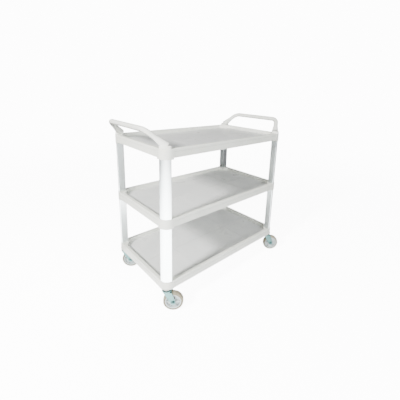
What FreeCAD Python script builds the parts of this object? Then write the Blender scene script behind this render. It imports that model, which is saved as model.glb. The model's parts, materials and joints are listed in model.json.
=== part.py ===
"""Three-tier food service trolley with quarter-round posts, end handles and swivel casters.

Millimetres. +Z is up and z = 0 is the floor. The origin is on the floor under the centre of
the shelves. X runs along the length, from one end handle to the other, and Y across the width.
"""
import FreeCAD, Part
import math
import os

from FreeCAD import Vector

# Shelves
shelf_length = 860.0
shelf_width = 500.0
level_pitch = 323.0
rail_height = 41.0
collar_bulge = 1.5
collar_wall = 2.5
collar_land = 10.0
collar_drop = 6.0
lip_width = 17.0
skin = 3.5
tray_depth = 22.0
floor_thickness = 4.0
corner_wall = 7.0
rib_thickness = 3.0
rib_pitch_x = 86.0
rib_pitch_y = 82.0
rail_groove_depth = 0.8
rail_groove_height = 2.0
rail_groove_drop = 12.0
panel_groove_width = 2.0
panel_groove_depth = 0.6
panel_groove_pitch = 205.0

# Posts and their plugs
post_side = 39.5
post_wall = 2.0
post_edge_radius = 2.5
socket_clearance = 0.25
socket_depth = 20.0
plug_length = 18.0
plug_clearance = 0.2

# Screws across each socket
screw_radius = 2.4
screw_clearance = 0.3
screw_head_radius = 4.6
screw_head_height = 3.0
screw_reach = 16.0
screw_access_clearance = 0.6
screw_access_length = 25.0

# End handles
handle_reach = 40.0
handle_rise = 77.5
handle_half_span = 176.0
handle_foot_x = 32.0
handle_foot_y = 28.0
handle_foot_rise = 8.0
handle_bend_radius = 55.0
handle_broad_radius = 13.5
handle_thin_radius = 12.0
handle_pad_margin = 1.5
handle_pad_height = 13.0
handle_neck_radius = 20.0
handle_neck_length = 62.0

# Handle bolts and inserts
bolt_radius = 3.0
bolt_clearance = 0.3
bolt_head_flats = 10.0
bolt_head_height = 4.0
bolt_counterbore_radius = 8.0
bolt_counterbore_depth = 6.0
insert_radius = 5.5
insert_length = 10.5

# Casters
wheel_diameter = 100.0
tyre_width = 28.0
tyre_thickness = 11.0
tyre_key_depth = 2.0
tyre_key_width = 8.0
hub_width = 32.8
hub_radius = 13.0
web_thickness = 7.0
rim_width = 24.0
rim_thickness = 5.0
rib_count = 6
swivel_inset = 28.0
caster_trail = 31.0
caster_heading = -40.0
crown_gap = 3.5
crown_thickness = 3.0
crown_radius = 22.0
crown_back = 15.0
crown_front = 24.0
fork_gap = 0.8
fork_thickness = 2.5
fork_eye_radius = 12.0
race_boss_height = 2.0
race_boss_radius = 20.0
ball_radius = 2.5
ball_circle_radius = 15.0
ball_count = 14
ball_clearance = 0.12
race_gap = 2.2
race_radius = 24.0
race_thickness = 2.8
race_skirt = 1.2
kingpin_radius = 6.0
kingpin_clearance = 0.06
kingpin_nut_flats = 17.0
kingpin_nut_height = 5.2
stem_collar_flats = 24.0
stem_collar_height = 1.5
stem_radius = 7.0
stem_length = 24.0
sleeve_wall = 1.5
boss_drop = 8.0
boss_radius = 17.0
axle_radius = 5.0
axle_clearance = 0.06
axle_flats = 16.0
axle_head_height = 6.0
axle_nut_height = 7.5
bush_radius = 7.5
side_clearance = 0.2

# Sizes and heights that follow from the ones above
wheel_radius = wheel_diameter / 2
crown_bottom = wheel_diameter + crown_gap
crown_top = crown_bottom + crown_thickness
race_bottom = crown_top + race_boss_height + race_gap
race_top = race_bottom + race_thickness
boss_bottom = race_top + stem_collar_height
bottom_deck_z = boss_bottom + boss_drop
middle_deck_z = bottom_deck_z + level_pitch
top_deck_z = middle_deck_z + level_pitch
ball_z = crown_top + race_boss_height + 1.1
fork_inner = hub_width / 2 + fork_gap
fork_outer = fork_inner + fork_thickness
collar_radius = post_side + collar_wall
collar_span = collar_radius + collar_land
socket_cut = 2 * (collar_radius - collar_bulge - lip_width) + corner_wall
apex_x = shelf_length / 2 - collar_radius
apex_y = shelf_width / 2 - collar_radius
diagonal_face = corner_wall / math.sqrt(2)

CORNERS = {
    "front_left": (-1, -1, 180.0),
    "front_right": (1, -1, 270.0),
    "back_left": (-1, 1, 90.0),
    "back_right": (1, 1, 0.0),
}


def export(name, shape):
    """Write one node's solid, or group of solids, to its STEP file."""
    shape.exportStep("parts/" + name + ".step")


def placed(shape, x, y, z=0.0, turn=0.0):
    """A copy of the shape turned about its own upright axis and then moved."""
    copy = shape.copy()
    copy.rotate(Vector(0, 0, 0), Vector(0, 0, 1), turn)
    copy.translate(Vector(x, y, z))
    return copy


def box(x_low, x_high, y_low, y_high, z_low, z_high):
    """Block between two corners."""
    corner = Vector(x_low, y_low, z_low)
    return Part.makeBox(x_high - x_low, y_high - y_low, z_high - z_low, corner)


def rod(radius, z_low, z_high):
    """Upright cylinder on the local axis."""
    return Part.makeCylinder(radius, z_high - z_low, Vector(0, 0, z_low))


def upright_edges(shape):
    """The straight upright edges of a shape."""
    found = []
    for edge in shape.Edges:
        low = edge.BoundBox.ZMin
        high = edge.BoundBox.ZMax
        if high - low > 1.0 and edge.BoundBox.XLength < 1e-4 and edge.BoundBox.YLength < 1e-4:
            found.append(edge)
    return found


def level_edges(shape, z):
    """The edges that lie in one level plane."""
    return [e for e in shape.Edges if abs(e.BoundBox.ZMin - z) < 1e-4 and abs(e.BoundBox.ZMax - z) < 1e-4]


def rounded_block(length, width, radius, z_low, z_high):
    """Block centred on the Z axis with rounded upright corners."""
    block = box(-length / 2, length / 2, -width / 2, width / 2, z_low, z_high)
    return block.makeFillet(radius, upright_edges(block))


def cut_corner_block(half_x, half_y, cut, z_low, z_high):
    """Block centred on the Z axis with its upright corners cut off at 45 degrees."""
    points = [
        Vector(half_x, half_y - cut, z_low),
        Vector(half_x - cut, half_y, z_low),
        Vector(cut - half_x, half_y, z_low),
        Vector(-half_x, half_y - cut, z_low),
        Vector(-half_x, cut - half_y, z_low),
        Vector(cut - half_x, -half_y, z_low),
        Vector(half_x - cut, -half_y, z_low),
        Vector(half_x, cut - half_y, z_low),
    ]
    face = Part.Face(Part.makePolygon(points + points[:1]))
    return face.extrude(Vector(0, 0, z_high - z_low))


def quarter_prism(radius, inset, edge_radius, z_low, z_high):
    """Quarter-round bar in the +X +Y quadrant, its flat faces inset from the axes."""
    reach = math.sqrt(radius ** 2 - inset ** 2)
    apex = Vector(inset, inset, z_low)
    along_x = Vector(reach, inset, z_low)
    along_y = Vector(inset, reach, z_low)
    middle = Vector(radius / math.sqrt(2), radius / math.sqrt(2), z_low)
    edges = [
        Part.LineSegment(apex, along_x).toShape(),
        Part.Arc(along_x, middle, along_y).toShape(),
        Part.LineSegment(along_y, apex).toShape(),
    ]
    prism = Part.Face(Part.Wire(edges)).extrude(Vector(0, 0, z_high - z_low))
    return prism.makeFillet(edge_radius, upright_edges(prism))


def hexagon(flats, z_low, z_high):
    """Upright hexagonal prism measured across its flats."""
    corner = flats / math.sqrt(3)
    points = []
    for step in range(7):
        angle = math.radians(60 * step)
        points.append(Vector(corner * math.cos(angle), corner * math.sin(angle), z_low))
    return Part.Face(Part.makePolygon(points)).extrude(Vector(0, 0, z_high - z_low))


def diagonal_rod(radius, start, end, z):
    """Level cylinder along the corner's diagonal, measured outwards from the post's inner edge."""
    out = Vector(1, 1, 0).normalize()
    base = Vector(out.x * start, out.y * start, z)
    return Part.makeCylinder(radius, end - start, base, out)


def at_corners(shape):
    """The shape repeated at the inner edge of the four posts, each turned to face outwards."""
    copies = []
    for side_x, side_y, turn in CORNERS.values():
        copies.append(placed(shape, side_x * apex_x, side_y * apex_y, 0.0, turn))
    return copies


def socket_levels():
    """For each shelf: socket floor or ceiling pairs that hold a post end."""
    top_low = top_deck_z - collar_drop
    mid_low = middle_deck_z - collar_drop
    mid_high = middle_deck_z + rail_height
    low_high = bottom_deck_z + rail_height
    return {
        "top": [(top_low, top_low + socket_depth)],
        "middle": [(mid_low, mid_low + socket_depth), (mid_high - socket_depth, mid_high)],
        "bottom": [(low_high - socket_depth, low_high)],
    }


def rail_block(deck_z):
    """The outside of a shelf between its collars, with rounded top and bottom edges."""
    length = shelf_length - 2 * collar_bulge
    width = shelf_width - 2 * collar_bulge
    top = deck_z + rail_height
    block = rounded_block(length, width, collar_radius - collar_bulge, deck_z, top)
    block = block.makeFillet(3.2, level_edges(block, top))
    block = block.makeFillet(1.4, level_edges(block, deck_z))
    groove_top = top - rail_groove_drop
    groove_low = groove_top - rail_groove_height
    core_length = length - 2 * rail_groove_depth
    core_width = width - 2 * rail_groove_depth
    outside = box(-length, length, -width, width, groove_low, groove_top)
    core_radius = collar_radius - collar_bulge - rail_groove_depth
    core = rounded_block(core_length, core_width, core_radius, groove_low - 1, groove_top + 1)
    return block.cut(outside.cut(core))


def corner_collars(deck_z, drop):
    """The slightly raised corner of a shelf that surrounds the post, one solid per corner."""
    top = deck_z + rail_height
    body = rounded_block(shelf_length, shelf_width, collar_radius, deck_z - drop, top)
    body = body.makeFillet(2.0, level_edges(body, top))
    body = body.makeFillet(1.8, level_edges(body, deck_z - drop))
    centre = cut_corner_block(
        shelf_length / 2 - collar_bulge - lip_width,
        shelf_width / 2 - collar_bulge - lip_width,
        socket_cut,
        deck_z - drop - 1,
        top + 1,
    )
    collars = []
    for side_x, side_y, _ in CORNERS.values():
        far_x = side_x * (shelf_length / 2 + 1)
        far_y = side_y * (shelf_width / 2 + 1)
        near_x = side_x * (shelf_length / 2 - collar_span)
        near_y = side_y * (shelf_width / 2 - collar_span)
        x_low, x_high = sorted((near_x, far_x))
        y_low, y_high = sorted((near_y, far_y))
        zone = box(x_low, x_high, y_low, y_high, deck_z - drop - 1, top + 1)
        collars.append(body.common(zone).cut(centre))
    return collars


def tray_hollow(deck_z):
    """The space inside the tray, with soft inner corners and a flared mouth."""
    top = deck_z + rail_height
    half_x = shelf_length / 2 - collar_bulge - lip_width
    half_y = shelf_width / 2 - collar_bulge - lip_width
    floor_z = top - tray_depth
    hollow = cut_corner_block(half_x, half_y, socket_cut, floor_z, top + 5)
    hollow = hollow.makeFillet(9.0, upright_edges(hollow))
    return hollow.makeFillet(3.5, level_edges(hollow, floor_z))


def rib_plates(deck_z):
    """The grid of thin plates under the tray floor and across the rim channel."""
    z_low = deck_z + 1.0
    z_high = deck_z + rail_height
    half = rib_thickness / 2
    plates = []
    steps_x = int((shelf_length / 2 - 20) // rib_pitch_x)
    steps_y = int((shelf_width / 2 - 20) // rib_pitch_y)
    for step in range(-steps_x, steps_x + 1):
        x = step * rib_pitch_x
        plates.append(box(x - half, x + half, -shelf_width, shelf_width, z_low, z_high))
    for step in range(-steps_y, steps_y + 1):
        y = step * rib_pitch_y
        plates.append(box(-shelf_length, shelf_length, y - half, y + half, z_low, z_high))
    return plates


def underside_hollow(deck_z):
    """The cells under the floor and inside the rim."""
    half_x = shelf_length / 2 - collar_bulge - skin
    half_y = shelf_width / 2 - collar_bulge - skin
    full_cut = socket_cut + 2 * (lip_width - skin)
    floor_bottom = deck_z + rail_height - tray_depth - floor_thickness
    under_lip = deck_z + rail_height - skin
    cells = cut_corner_block(half_x, half_y, full_cut, deck_z - 1, under_lip)
    inside = cut_corner_block(
        half_x - lip_width + 2 * skin,
        half_y - lip_width + 2 * skin,
        socket_cut + skin * (2 - math.sqrt(2)),
        floor_bottom,
        under_lip + 1,
    )
    return cells.cut([inside] + rib_plates(deck_z))


def panel_grooves(deck_z):
    """Shallow lines that divide the tray floor into panels."""
    z_low = deck_z + rail_height - tray_depth - panel_groove_depth
    z_high = z_low + panel_groove_depth + 1
    half_x = shelf_length / 2 - collar_bulge - lip_width - 8
    half_y = shelf_width / 2 - collar_bulge - lip_width - 8
    half = panel_groove_width / 2
    grooves = [box(-half_x, half_x, -half, half, z_low, z_high)]
    for step in (-1, 0, 1):
        x = step * panel_groove_pitch
        grooves.append(box(x - half, x + half, -half_y, half_y, z_low, z_high))
    return grooves


def plain_shelf(deck_z, drop, sockets):
    """A shelf with its tray, ribs, collars, post sockets and screw holes."""
    shelf = rail_block(deck_z).fuse(corner_collars(deck_z, drop))
    shelf = shelf.cut(tray_hollow(deck_z))
    shelf = shelf.cut(underside_hollow(deck_z))
    tools = panel_grooves(deck_z)
    for z_low, z_high in sockets:
        mouth_low = z_low - 1 if z_low < deck_z else z_low
        mouth_high = z_high if z_low < deck_z else z_high + 1
        radius = post_side + socket_clearance
        socket = quarter_prism(radius, -socket_clearance, post_edge_radius, mouth_low, mouth_high)
        middle = (z_low + z_high) / 2
        hole = diagonal_rod(screw_radius + screw_clearance, -diagonal_face - 2, 5, middle)
        head_room = screw_head_radius + screw_access_clearance
        access = diagonal_rod(head_room, -diagonal_face - screw_access_length, -diagonal_face, middle)
        tools += at_corners(socket) + at_corners(hole) + at_corners(access)
    return shelf.cut(tools)


def make_top_shelf():
    """Top shelf: closed corners with a counterbored bolt hole under each handle foot."""
    sockets = socket_levels()["top"]
    shelf = plain_shelf(top_deck_z, collar_drop, sockets)
    ceiling = sockets[0][1]
    top = top_deck_z + rail_height
    hole = rod(bolt_radius + bolt_clearance, ceiling - 1, top + 1)
    recess = rod(bolt_counterbore_radius, ceiling - 1, ceiling + bolt_counterbore_depth)
    tools = []
    for x, y in handle_feet():
        tools.append(placed(hole, x, y))
        tools.append(placed(recess, x, y))
    return shelf.cut(tools)


def make_bottom_shelf():
    """Bottom shelf: a tapered boss under each corner takes the caster's sleeve and stem."""
    shelf = plain_shelf(bottom_deck_z, 0.0, socket_levels()["bottom"])
    taper = boss_drop + 2.0
    widest = collar_radius - 16.0
    boss = Part.makeCone(boss_radius, widest, taper, Vector(0, 0, boss_bottom))
    bore = rod(stem_radius + sleeve_wall, boss_bottom - 1, boss_bottom + stem_length + 1)
    bosses = []
    bores = []
    for x, y in swivel_axes().values():
        bosses.append(placed(boss, x, y))
        bores.append(placed(bore, x, y))
    return shelf.fuse(bosses).cut(bores).removeSplitter()


def make_post(z_low, z_high, screw_levels):
    """Hollow quarter-round post in the local quadrant, with a hole for each socket screw."""
    outer = quarter_prism(post_side, 0.0, post_edge_radius, z_low, z_high)
    inner = quarter_prism(post_side - post_wall, post_wall, 1.0, z_low - 1, z_high + 1)
    post = outer.cut(inner)
    for level in screw_levels:
        post = post.cut(diagonal_rod(screw_radius + screw_clearance, -2, 9, level))
    return post


def make_plug(z_low, screw_level):
    """Plug that fills the end of a post and takes the screw's thread."""
    inset = post_wall + plug_clearance
    body = quarter_prism(post_side - inset, inset, 1.5, z_low, z_low + plug_length)
    return body.cut(diagonal_rod(screw_radius, -2, screw_reach + 1, screw_level))


def make_socket_screw(level):
    """Pan-head screw across a socket, its head on the diagonal face."""
    seat = -diagonal_face
    shank = diagonal_rod(screw_radius, seat, screw_reach, level)
    head = diagonal_rod(screw_head_radius, seat - screw_head_height, seat, level)
    rim = [e for e in head.Edges if len(e.Vertexes) == 1]
    outermost = min(rim, key=lambda e: e.BoundBox.Center.x)
    head = head.makeFillet(1.6, [outermost])
    return shank.fuse(head).removeSplitter()


def handle_feet():
    """Plan positions of the four handle feet."""
    x = shelf_length / 2 - handle_foot_x
    y = shelf_width / 2 - handle_foot_y
    return [(-x, -y), (-x, y), (x, -y), (x, y)]


def rounded_path(points, radius):
    """A wire of straight runs joined by tangent arcs at the inner points."""
    edges = []
    start = points[0]
    for before, corner, after in zip(points, points[1:], points[2:]):
        back = (before - corner).normalize()
        onward = (after - corner).normalize()
        half_turn = back.getAngle(onward) / 2
        length = radius / math.tan(half_turn)
        first = corner + back * length
        last = corner + onward * length
        inward = (back + onward).normalize()
        middle = corner + inward * (radius / math.sin(half_turn) - radius)
        edges.append(Part.LineSegment(start, first).toShape())
        edges.append(Part.Arc(first, middle, last).toShape())
        start = last
    edges.append(Part.LineSegment(start, points[-1]).toShape())
    return Part.Wire(edges)


def handle_bar(points):
    """The oval bar swept along the handle's path."""
    path = rounded_path(points, handle_bend_radius)
    along = (points[1] - points[0]).normalize()
    bar = (points[2] - points[1]).normalize()
    normal = along.cross(bar).normalize()
    broad = normal.cross(along).normalize()
    oval = Part.Ellipse(
        points[0] + broad * handle_broad_radius,
        points[0] + normal * handle_thin_radius,
        points[0],
    )
    section = Part.Wire([oval.toShape()])
    return path.makePipeShell([section], True, True)


def handle_foot(foot, along, corner):
    """Pad that covers one shelf corner, with a neck that runs up into the bar."""
    base_z = top_deck_z + rail_height
    side_x, side_y, turn = CORNERS[corner]
    pad_top = base_z + handle_pad_height
    pad = quarter_prism(collar_radius - handle_pad_margin, -2.0, 7.0, base_z, pad_top)
    pad = pad.makeFillet(5.5, level_edges(pad, pad_top))
    pad = placed(pad, side_x * apex_x, side_y * apex_y, 0.0, turn)
    neck = Part.makeCone(handle_neck_radius, handle_thin_radius, handle_neck_length, foot, along)
    return pad.fuse(neck)


def make_handle(side):
    """End handle: a tilted bar on two feet, with a blind bore for each threaded insert."""
    base_z = top_deck_z + rail_height
    foot_x = side * (shelf_length / 2 - handle_foot_x)
    foot_y = shelf_width / 2 - handle_foot_y
    bar_x = side * (shelf_length / 2 + handle_reach)
    points = [
        Vector(foot_x, -foot_y, base_z + handle_foot_rise),
        Vector(bar_x, -handle_half_span, base_z + handle_rise),
        Vector(bar_x, handle_half_span, base_z + handle_rise),
        Vector(foot_x, foot_y, base_z + handle_foot_rise),
    ]
    end = "left" if side < 0 else "right"
    feet = [
        handle_foot(points[0], (points[1] - points[0]).normalize(), "front_" + end),
        handle_foot(points[3], (points[2] - points[3]).normalize(), "back_" + end),
    ]
    handle = handle_bar(points).fuse(feet).removeSplitter()
    below = box(-shelf_length, shelf_length, -shelf_width, shelf_width, base_z - 60, base_z)
    bore = rod(insert_radius, base_z - 1, base_z + insert_length + 0.5)
    bores = [placed(bore, foot_x, y) for y in (-foot_y, foot_y)]
    return handle.cut([below] + bores)


def make_handle_bolt():
    """Hexagon bolt from inside the post socket up into the handle foot."""
    seat = socket_levels()["top"][0][1] + bolt_counterbore_depth
    tip = top_deck_z + rail_height + insert_length - 1
    head = hexagon(bolt_head_flats, seat - bolt_head_height, seat)
    return head.fuse(rod(bolt_radius, seat, tip)).removeSplitter()


def make_handle_insert():
    """Threaded insert in the handle foot."""
    base_z = top_deck_z + rail_height
    body = rod(insert_radius, base_z, base_z + insert_length)
    return body.cut(rod(bolt_radius, base_z - 1, base_z + insert_length + 1))


def swivel_axes():
    """Plan position of each caster's upright axis."""
    x = shelf_length / 2 - swivel_inset
    y = shelf_width / 2 - swivel_inset
    return {name: (side_x * x, side_y * y) for name, (side_x, side_y, _) in CORNERS.items()}


def along_axle(shape):
    """Lay an upright local shape down along the axle and move it to the wheel's centre."""
    laid = shape.copy()
    laid.rotate(Vector(0, 0, 0), Vector(1, 0, 0), 90)
    laid.translate(Vector(caster_trail, 0, wheel_radius))
    return laid


def ring(outer, inner, z_low, z_high):
    """Upright ring on the local axis."""
    return rod(outer, z_low, z_high).cut(rod(inner, z_low - 1, z_high + 1))


def fork_leg(side):
    """One side plate of the fork, tapering from the crown down to the axle eye."""
    y_low = fork_inner if side > 0 else -fork_outer
    centre = Vector(caster_trail, y_low, wheel_radius)
    points = [Vector(-crown_back, y_low, crown_top)]
    for corner_x, turn in ((-crown_back, 1), (crown_front, -1)):
        run_x = corner_x - centre.x
        run_z = crown_top - centre.z
        distance = math.hypot(run_x, run_z)
        angle = math.atan2(run_z, run_x) + turn * math.acos(fork_eye_radius / distance)
        reach_x = fork_eye_radius * math.cos(angle)
        reach_z = fork_eye_radius * math.sin(angle)
        points.append(Vector(centre.x + reach_x, y_low, centre.z + reach_z))
    points.append(Vector(crown_front, y_low, crown_top))
    plate = Part.Face(Part.makePolygon(points + points[:1])).extrude(Vector(0, fork_thickness, 0))
    eye = Part.makeCylinder(fork_eye_radius, fork_thickness, centre, Vector(0, 1, 0))
    return plate.fuse(eye).removeSplitter()


def make_fork():
    """Pressed fork: crown, two side plates, and the lower ball race on top."""
    crown = box(-crown_back, crown_front, -fork_outer, fork_outer, crown_bottom, crown_top)
    body = crown.fuse([fork_leg(1), fork_leg(-1)]).removeSplitter()
    shoulders = []
    for edge in level_edges(body, crown_top):
        if edge.BoundBox.YLength < 1e-4 and edge.BoundBox.XLength > 20:
            shoulders.append(edge)
    body = body.makeFillet(2.0, shoulders)
    body = body.fuse(rod(crown_radius, crown_bottom, crown_top))
    body = body.fuse(rod(race_boss_radius, crown_top, crown_top + race_boss_height)).removeSplitter()
    groove = Part.makeTorus(ball_circle_radius, ball_radius + 0.02, Vector(0, 0, ball_z))
    pin_hole = rod(kingpin_radius + kingpin_clearance, crown_bottom - 5, crown_top + 10)
    axle_hole = along_axle(rod(axle_radius, -fork_outer - 2, fork_outer + 2))
    return body.cut([groove, pin_hole, axle_hole])


def make_balls():
    """The ring of bearing balls between the two races."""
    balls = []
    for step in range(ball_count):
        angle = 2 * math.pi * step / ball_count
        x = ball_circle_radius * math.cos(angle)
        y = ball_circle_radius * math.sin(angle)
        balls.append(Part.makeSphere(ball_radius, Vector(x, y, ball_z)))
    return Part.makeCompound(balls)


def make_race():
    """Upper ball race with a short skirt that keeps dirt out of the balls."""
    skirt_bottom = crown_top + 1.0
    disc = rod(race_radius, race_bottom, race_top)
    disc = disc.makeFillet(1.0, level_edges(disc, race_top))
    disc = disc.fuse(ring(race_radius, race_radius - race_skirt, skirt_bottom, race_bottom))
    groove_radius = ball_radius + ball_clearance
    groove = Part.makeTorus(ball_circle_radius, groove_radius, Vector(0, 0, ball_z))
    return disc.removeSplitter().cut([groove, rod(kingpin_radius, race_bottom - 5, race_top + 1)])


def make_stem():
    """Plain stem, hexagon collar and kingpin in one turned piece."""
    nut_bottom = crown_bottom - side_clearance - kingpin_nut_height
    kingpin = rod(kingpin_radius, nut_bottom, race_top)
    collar = hexagon(stem_collar_flats, race_top, boss_bottom)
    stem = rod(stem_radius, boss_bottom, boss_bottom + stem_length)
    stem = stem.makeChamfer(1.0, level_edges(stem, boss_bottom + stem_length))
    return kingpin.fuse([collar, stem]).removeSplitter()


def make_kingpin_nut():
    """Nut under the crown that carries the fork on the kingpin."""
    nut_top = crown_bottom - side_clearance
    nut = hexagon(kingpin_nut_flats, nut_top - kingpin_nut_height, nut_top)
    return nut.cut(rod(kingpin_radius, nut_top - 20, nut_top + 1))


def make_sleeve():
    """Steel sleeve that lines the stem's bore in the bottom shelf."""
    outer = stem_radius + sleeve_wall
    return ring(outer, stem_radius, boss_bottom, boss_bottom + stem_length)


def make_axle_bolt():
    """Hexagon bolt through the fork and the wheel's bush."""
    head = hexagon(axle_flats, -fork_outer - axle_head_height, -fork_outer)
    shank = rod(axle_radius, -fork_outer, fork_outer + axle_nut_height + 1.5)
    return along_axle(head.fuse(shank).removeSplitter())


def make_axle_nut():
    """Hexagon nut on the axle's outer end."""
    nut = hexagon(axle_flats, fork_outer, fork_outer + axle_nut_height)
    return along_axle(nut.cut(rod(axle_radius, fork_outer - 1, fork_outer + 20)))


def make_bush():
    """Bush that turns with the wheel on the axle."""
    half = fork_inner - side_clearance
    return along_axle(ring(bush_radius, axle_radius + axle_clearance, -half, half))


def make_wheel_core():
    """Moulded wheel: hub, web, stiffening ribs and a grooved rim."""
    rim_outer = wheel_radius - tyre_thickness
    rim_inner = rim_outer - rim_thickness
    hub = rod(hub_radius, -hub_width / 2, hub_width / 2)
    web = rod(rim_inner + 1, -web_thickness / 2, web_thickness / 2)
    rim = ring(rim_outer, rim_inner, -rim_width / 2, rim_width / 2)
    pieces = [web, rim]
    for step in range(rib_count):
        rib = box(hub_radius - 1, rim_inner + 1, -1.5, 1.5, -rim_width * 0.4, rim_width * 0.4)
        pieces.append(placed(rib, 0, 0, 0, 360.0 / rib_count * step))
    core = hub.fuse(pieces).removeSplitter()
    bore = rod(bush_radius, -hub_width, hub_width)
    key = ring(rim_outer + 2, rim_outer - tyre_key_depth, -tyre_key_width / 2, tyre_key_width / 2)
    return along_axle(core.cut([bore, key]))


def make_tyre():
    """Solid tyre with rounded shoulders and an inner key that sits in the rim."""
    inner = wheel_radius - tyre_thickness
    half = tyre_width / 2
    tyre = ring(wheel_radius, inner, -half, half)
    shoulders = []
    for edge in tyre.Edges:
        outer_edge = abs(edge.BoundBox.XLength - wheel_diameter) < 1e-3
        if outer_edge and edge.BoundBox.ZLength < 1e-4:
            shoulders.append(edge)
    tyre = tyre.makeFillet(6.0, shoulders)
    key = ring(inner + 1, inner - tyre_key_depth, -tyre_key_width / 2, tyre_key_width / 2)
    return along_axle(tyre.fuse(key).removeSplitter())


def build_shelves_and_posts():
    """Shelves, posts, plugs and the screws across the sockets."""
    levels = socket_levels()
    middle_sockets = levels["middle"]
    export("top_shelf", make_top_shelf())
    export("middle_shelf", plain_shelf(middle_deck_z, collar_drop, middle_sockets))
    export("bottom_shelf", make_bottom_shelf())
    spans = {
        "upper": (middle_sockets[1], levels["top"][0]),
        "lower": (levels["bottom"][0], middle_sockets[0]),
    }
    for name, (low_socket, high_socket) in spans.items():
        z_low = low_socket[0]
        z_high = high_socket[1]
        low_screw = sum(low_socket) / 2
        high_screw = sum(high_socket) / 2
        post = make_post(z_low, z_high, [low_screw, high_screw])
        for (corner, _), shape in zip(CORNERS.items(), at_corners(post)):
            export(name + "_post_" + corner, shape)
        low_plugs = at_corners(make_plug(z_low, low_screw))
        high_plugs = at_corners(make_plug(z_high - plug_length, high_screw))
        export(name + "_post_plugs", Part.makeCompound(low_plugs + high_plugs))
    for name, sockets in levels.items():
        screws = []
        for socket in sockets:
            screws += at_corners(make_socket_screw(sum(socket) / 2))
        export(name + "_shelf_screws", Part.makeCompound(screws))


def build_handles():
    """Both end handles with their bolts and inserts."""
    export("left_handle", make_handle(-1))
    export("right_handle", make_handle(1))
    bolts = [placed(make_handle_bolt(), x, y) for x, y in handle_feet()]
    inserts = [placed(make_handle_insert(), x, y) for x, y in handle_feet()]
    export("left_handle_bolts", Part.makeCompound(bolts[:2]))
    export("right_handle_bolts", Part.makeCompound(bolts[2:]))
    export("handle_inserts", Part.makeCompound(inserts))


def build_casters():
    """Four swivel casters, all trailing the same way."""
    pieces = {
        "caster_stem": make_stem(),
        "caster_race": make_race(),
        "fork": make_fork(),
        "bearing_balls": make_balls(),
        "axle_bolt": make_axle_bolt(),
        "axle_nut": make_axle_nut(),
        "axle_bush": make_bush(),
        "wheel_core": make_wheel_core(),
        "tyre": make_tyre(),
    }
    for corner, (x, y) in swivel_axes().items():
        for name, shape in pieces.items():
            export(name + "_" + corner, placed(shape, x, y, 0.0, caster_heading))
    nuts = [placed(make_kingpin_nut(), x, y, 0.0, caster_heading) for x, y in swivel_axes().values()]
    sleeves = [placed(make_sleeve(), x, y) for x, y in swivel_axes().values()]
    export("kingpin_nuts", Part.makeCompound(nuts))
    export("caster_stem_sleeves", Part.makeCompound(sleeves))


os.makedirs("parts", exist_ok=True)
build_shelves_and_posts()
build_handles()
build_casters()
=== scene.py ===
"""Looks of a three-tier food service trolley: its finishes, its caster hardware and tyres, and the studio.

Metres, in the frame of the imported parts: +Z up, X along the shelves from handle to handle, Y across
them, and the origin on the floor under the middle of the shelves.
"""

import json
import logging
import math
from abc import ABC, abstractmethod
from dataclasses import dataclass
from enum import Enum
from typing import ClassVar

import bpy
import numpy as np
from mathutils import Matrix, Vector

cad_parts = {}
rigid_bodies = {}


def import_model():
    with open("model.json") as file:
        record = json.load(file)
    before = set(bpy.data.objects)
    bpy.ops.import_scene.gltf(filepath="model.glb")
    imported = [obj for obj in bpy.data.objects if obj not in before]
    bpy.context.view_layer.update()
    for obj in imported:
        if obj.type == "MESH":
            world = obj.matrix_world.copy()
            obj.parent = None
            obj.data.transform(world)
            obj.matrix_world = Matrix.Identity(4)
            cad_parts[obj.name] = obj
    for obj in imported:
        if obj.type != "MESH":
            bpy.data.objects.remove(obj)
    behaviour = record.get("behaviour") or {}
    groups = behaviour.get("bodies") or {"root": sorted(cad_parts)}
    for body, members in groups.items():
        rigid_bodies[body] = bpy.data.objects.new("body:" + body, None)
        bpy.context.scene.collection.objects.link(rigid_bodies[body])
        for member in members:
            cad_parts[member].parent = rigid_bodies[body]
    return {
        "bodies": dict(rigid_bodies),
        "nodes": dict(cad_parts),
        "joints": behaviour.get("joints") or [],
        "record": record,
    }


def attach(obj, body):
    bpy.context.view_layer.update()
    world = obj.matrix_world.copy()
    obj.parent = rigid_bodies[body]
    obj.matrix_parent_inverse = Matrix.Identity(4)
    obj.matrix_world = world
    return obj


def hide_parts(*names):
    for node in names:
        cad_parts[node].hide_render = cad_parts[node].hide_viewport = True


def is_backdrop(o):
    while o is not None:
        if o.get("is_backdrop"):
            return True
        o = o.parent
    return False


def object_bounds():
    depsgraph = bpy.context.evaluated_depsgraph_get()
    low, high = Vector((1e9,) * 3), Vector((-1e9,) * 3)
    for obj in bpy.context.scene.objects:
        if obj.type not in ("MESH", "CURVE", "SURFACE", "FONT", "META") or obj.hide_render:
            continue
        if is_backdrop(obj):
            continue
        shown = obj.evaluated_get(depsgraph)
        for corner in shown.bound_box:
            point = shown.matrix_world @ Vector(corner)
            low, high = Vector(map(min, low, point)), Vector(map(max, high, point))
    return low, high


log = logging.getLogger("trolley")

Socket = bpy.types.NodeSocket
Rgb = tuple[float, float, float]
Feed = Socket | float | tuple[float, ...]
Array = np.ndarray

SHARP_EDGE = math.radians(32)
WHITE: Rgb = (1.0, 1.0, 1.0)


# Node wiring


class PortKind(Enum):
    """What a group's socket carries."""

    VALUE = "NodeSocketFloat"
    COLOUR = "NodeSocketColor"
    VECTOR = "NodeSocketVector"


@dataclass(frozen=True)
class Port:
    """One named socket of an effect group, with the value it has when nothing feeds it."""

    name: str
    kind: PortKind = PortKind.VALUE
    default: float | tuple[float, ...] = 0.0


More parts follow.
